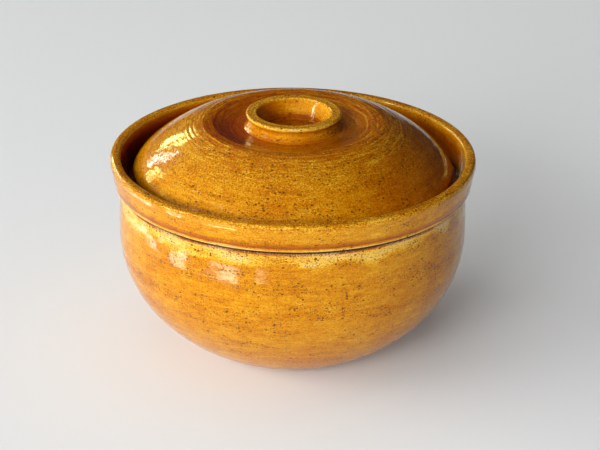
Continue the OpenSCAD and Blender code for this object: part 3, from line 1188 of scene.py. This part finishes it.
@dataclass
class Weight:
    """One half-moon weight, in millimetres. Side is -1 for the left one and 1 for the right one."""

    side: int
    node: str
    body: Body
    finger: float = 11.0
    finger_place: float = 0.46
    bevel: tuple = (6.0, 5.33)
    soft: float = 2.0
    hole_round: float = 1.2
    loop: float = 100.0                 # the edge's place along the loop's first axis
    sharpness: float = 40.0
    turn_reach: float = 45.0            # the soft edge starts this many times closer than the loop's end
    around: int = 260

    def __post_init__(self) -> None:
        """Works out the sizes that follow from the solid's box."""
        low, high = node_box(self.node)
        self.radius = float(high[1])
        self.gap = float(min(abs(low[0]), abs(high[0])))
        self.low, self.thick = float(low[2]), float(high[2] - low[2])

    def outline(self, angle: np.ndarray) -> np.ndarray:
        """Distance from the finger hole's middle to the half-moon's edge.

        It is the shorter of the ways to the straight edge and to the circle, blended
        by a high power mean so that the two corners are round.

        Args:
            angle: Directions from the middle of the hole, from the middle of the arc.

        Returns:
            Distances in millimetres.
        """
        middle = self.radius * self.finger_place
        ahead = np.cos(angle)
        flat = (middle - self.gap) / np.clip(-ahead, 1e-3, None)
        part = middle * ahead
        arc = -part + np.sqrt(part ** 2 + self.radius ** 2 - middle ** 2)
        return (flat ** -self.sharpness + arc ** -self.sharpness) ** (-1 / self.sharpness)

    def build(self, dresser: Dresser) -> bpy.types.Object:
        """Makes and dresses the weight.

        The surface is a closed grid: directions from the finger hole by a loop that runs
        up the hole, over the top, down the edge and back underneath. Beyond the bevel's
        start the underside rises along a cone.

        Args:
            dresser: Holds the finishes.

        Returns:
            The piece.
        """
        thick, small, end = self.thick, self.hole_round, self.loop
        loop = (
            Section(closed=True)
            .line((0, small), (0, thick - small), (small, thick), (0.4 * end, thick), (end - 1, thick))
            .line((end, thick), (end, 0), (end - 1, 0), (small, 0))
        )
        st = loop.stations(count=150, soft=0.5)
        angle = angles_round(self.around)
        turned = Turning(st, angle)
        share = np.clip(st.radius / end, 0, 1)
        reach = self.finger + (self.outline(angle) - self.finger) * share
        turn = smooth_step(1 - self.soft / self.turn_reach, 1, share)
        wear = turned.waves(seed=40 + self.side, depth=0.12, lengths=(12.0, 60.0), turns=4, count=14)
        height = np.minimum(st.height + wear * (share > 0.02) * (st.up > 0.5), thick)
        height = np.where(st.height > thick / 2, height - self.soft * turn ** 3, height)
        x = self.radius * self.finger_place + reach * np.cos(angle)
        y = reach * np.sin(angle)
        start, rise = self.radius - self.bevel[0], self.bevel[1] / self.bevel[0]
        lift = np.clip((np.hypot(x, y) - start) * rise, 0, None)
        z = self.low + lift + height * (thick - lift) / thick
        points = np.stack([self.side * x, self.side * y, z], axis=2)
        marks = {"along": np.broadcast_to(st.along * MM, z.shape).reshape(-1)}
        faces = wrap_quads(*z.shape, True).tolist()
        piece = make_object(self.node + "_clay", points.reshape(-1, 3), faces, marks)
        return dresser.dress(piece, Slot.CLAY, self.body, self.node)


@dataclass(frozen=True)
class Lamp:
    """A rectangular lamp that faces a point, in metres and watts."""

    name: str
    place: tuple[float, float, float]
    aim: tuple[float, float, float]
    size: tuple[float, float]
    power: float
    colour: tuple[float, float, float] = (1.0, 1.0, 1.0)
    in_glaze: bool = True
    on_clay: bool = True
    leaves: tuple[float, float] | None = None
    ring: float = 0.0
    ring_half: float = 0.05
    lights: Lights = Lights.ALL
    casts: bool = True

    def make(self, floor: bpy.types.Object) -> None:
        """Adds the lamp to the scene.

        Args:
            floor: The floor, which some lamps light alone or leave out.
        """
        data = bpy.data.lights.new(self.name, "AREA")
        data.shape, data.size, data.size_y = "RECTANGLE", *self.size
        data.energy, data.color = self.power, self.colour
        data.use_shadow = self.casts
        if self.leaves:
            data.use_nodes = True
            data.node_tree.nodes.clear()
            self.shade(data)
        lamp = bpy.data.objects.new(self.name, data)
        lamp.location = self.place
        lamp.rotation_euler = (Vector(self.aim) - Vector(self.place)).to_track_quat("-Z", "Y").to_euler()
        lamp.visible_glossy, lamp.visible_diffuse = self.in_glaze, self.on_clay
        lamp.visible_camera = False
        if self.lights is not Lights.ALL:
            group = bpy.data.collections.new(self.name)
            group.objects.link(floor)
            group.collection_objects[0].light_linking.link_state = self.lights.value
            lamp.light_linking.receiver_collection = group
        bpy.context.scene.collection.objects.link(lamp)

    def shade(self, data: bpy.types.Light) -> None:
        """Breaks the lamp's face up, as leaves before a window do.

        Leaves sets how many patches go across and up a metre. With a ring, only a band at
        that distance from the middle shines, on the right and towards the front.

        Args:
            data: The lamp's data.
        """
        g = Graph(data.node_tree)
        face = g.add("NewGeometry").outputs["Parametric"]
        spread = g.add("Mapping", {"Vector": face, "Scale": (*self.size, 1)}).outputs[0]
        spot = g.vector("ADD", "Vector", spread, self.place)
        spot = g.add("Mapping", {"Vector": spot, "Scale": (*self.leaves, 1)}).outputs["Vector"]
        glow = g.step(g.noise(spot, 1.0, 4.0, 0.6), 0.48, 0.55, 1.6)
        if self.ring:
            right, front = (0.97, -0.24, 0), (0, -1, 0)
            middle = g.vector("ADD", "Vector", spread, (-self.size[0] / 2, -self.size[1] / 2, 0))
            away = g.vector("LENGTH", "Value", middle)
            off = g.math("ABSOLUTE", g.math("SUBTRACT", away, self.ring))
            masks = (
                g.step(g.math("SUBTRACT", self.ring_half, off), 0.0, 0.03),
                g.step(g.vector("DOT_PRODUCT", "Value", middle, right), 0.14, 0.24),
                g.step(g.vector("DOT_PRODUCT", "Value", middle, front), -0.2, 0.25),
            )
            for mask in masks:
                glow = g.math("MULTIPLY", glow, mask)
        shine = g.add("Emission", {"Color": (1, 1, 1, 1), "Strength": glow})
        g.add("OutputLight", {"Surface": shine.outputs[0]})


LEAFY, CLEAR, COOL = (0.85, 1.0, 0.35), (1.0, 1.0, 0.93), (0.97, 1.0, 0.95)
LID_MIDDLE, POT_MIDDLE, CENTRE = (0, 0, 0.12), (0, 0, 0.08), (0, 0, 0)


@dataclass
class Studio:
    """Floor, lamps, world and camera."""

    pitch: float = 24.2                 # degrees below level
    roll: float = 0.65                  # degrees
    focal_pixels: float = 2386.6
    picture_width: int = 600
    eye: tuple[float, float, float] = (5.0, -1447.8, 727.7)        # millimetres
    sensor: float = 36.0
    clip: tuple[float, float] = (0.05, 50.0)
    floor_half: float = 4.0
    floor_colour: tuple[float, float, float] = (0.672, 0.684, 0.70)
    dim: tuple[float, float, float] = (0.035, 0.035, 0.035)
    bright: tuple[float, float, float] = (0.45, 0.45, 0.42)
    bright_side: tuple[float, float, float] = (-0.88, -0.22, 0.42)
    lamps: tuple[Lamp, ...] = (
        Lamp("left pane", (-1.75, 1.42, 0.86), LID_MIDDLE, (0.34, 0.86), 10.0, LEAFY,
             on_clay=False, leaves=(17, 2.5)),
        Lamp("middle pane", (-1.42, 1.75, 0.90), LID_MIDDLE, (0.30, 0.84), 9.0, CLEAR,
             on_clay=False, leaves=(24, 3.5)),
        Lamp("right pane", (-1.08, 2.02, 0.94), LID_MIDDLE, (0.34, 0.62), 6.0, LEAFY,
             on_clay=False, leaves=(17, 2.5)),
        Lamp("side light", (-5.4, 0.45, 1.62), POT_MIDDLE, (3.0, 2.1), 160.0, COOL, in_glaze=False),
        Lamp("back light", (-2.6, 3.2, 1.65), POT_MIDDLE, (1.0, 1.4), 62.0, (0.97, 1.0, 0.88),
             in_glaze=False, lights=Lights.PIECES),
        Lamp("floor light", (-4.5, -2.4, 2.4), CENTRE, (3.0, 2.2), 130.0,
             in_glaze=False, lights=Lights.FLOOR),
        Lamp("floor fill", (-0.3, 0.6, 4.0), CENTRE, (3.0, 3.0), 48.0,
             in_glaze=False, lights=Lights.FLOOR, casts=False),
        Lamp("key", (-1.6, -3.2, 1.3), (0, 0, 0.06), (2.0, 1.6), 143.0, in_glaze=False),
        Lamp("high window", (-1.35, -0.78, 1.90), (0, 0, 0.14), (2.6, 0.06), 1.6,
             on_clay=False, leaves=(9, 9)),
        Lamp("low window", (-1.93, -0.52, 0.88), (0, 0, 0.14), (0.36, 0.90), 22.0,
             on_clay=False, leaves=(9, 2)),
        Lamp("sun on the floor", (0, 0, 0.003), (0, 0, 1), (0.8, 0.8), 22.0,
             on_clay=False, leaves=(14, 14), ring=0.34),
    )

    def make_camera(self) -> None:
        """Sets up the camera that sees the crock as the photograph does."""
        data = bpy.data.cameras.new("camera")
        data.sensor_width = self.sensor
        data.lens = self.focal_pixels * self.sensor / self.picture_width
        data.clip_start, data.clip_end = self.clip
        camera = bpy.data.objects.new("camera", data)
        tilt = Matrix.Rotation(math.radians(90 - self.pitch), 4, "X")
        roll = Matrix.Rotation(math.radians(self.roll), 4, "Z")
        camera.matrix_world = Matrix.Translation(Vector(self.eye) * MM) @ tilt @ roll
        bpy.context.scene.collection.objects.link(camera)
        bpy.context.scene.camera = camera

    def make_floor(self) -> bpy.types.Object:
        """Lays a wide pale floor and returns it."""
        half = self.floor_half
        corners = [(-half, -half, 0), (half, -half, 0), (half, half, 0), (-half, half, 0)]
        mesh = bpy.data.meshes.new("floor")
        mesh.from_pydata(corners, [], [(0, 1, 2, 3)])
        floor = bpy.data.objects.new("floor", mesh)
        bpy.context.scene.collection.objects.link(floor)
        material, g = start_material("pale floor")
        g.finish({"Base Color": (*self.floor_colour, 1), "Roughness": 0.9, "Specular IOR Level": 0.1})
        mesh.materials.append(material)
        return floor

    def make_world(self) -> None:
        """Fills the room with a soft light that is brighter on the side of the windows."""
        world = bpy.data.worlds.new("room")
        world.use_nodes = True
        world.node_tree.nodes.clear()
        g = Graph(world.node_tree)
        way = g.add("TexCoord").outputs["Generated"]
        turn = g.vector("DOT_PRODUCT", "Value", way, self.bright_side)
        colour = g.mix(g.step(turn, -0.1, 1.0), (*self.dim, 1), (*self.bright, 1))
        air = g.add("Background", {"Color": colour, "Strength": 1.0})
        g.add("OutputWorld", {"Surface": air.outputs[0]})
        bpy.context.scene.world = world

    def build(self) -> None:
        """Sets up everything that isn't the crock."""
        self.make_camera()
        floor = self.make_floor()
        self.make_world()
        for lamp in self.lamps:
            lamp.make(floor)
        bpy.context.scene.view_settings.view_transform = "Standard"


def main() -> None:
    """Builds the studio and the crock's sub-assemblies in order."""
    logging.basicConfig(level=logging.INFO, format="%(message)s")
    Studio().build()
    dresser = Dresser()
    Crock().build(dresser)
    Lid().build(dresser)
    Weight(-1, "left_weight", Body.LEFT_WEIGHT).build(dresser)
    Weight(1, "right_weight", Body.RIGHT_WEIGHT).build(dresser)


if __name__ == "__main__":
    main()
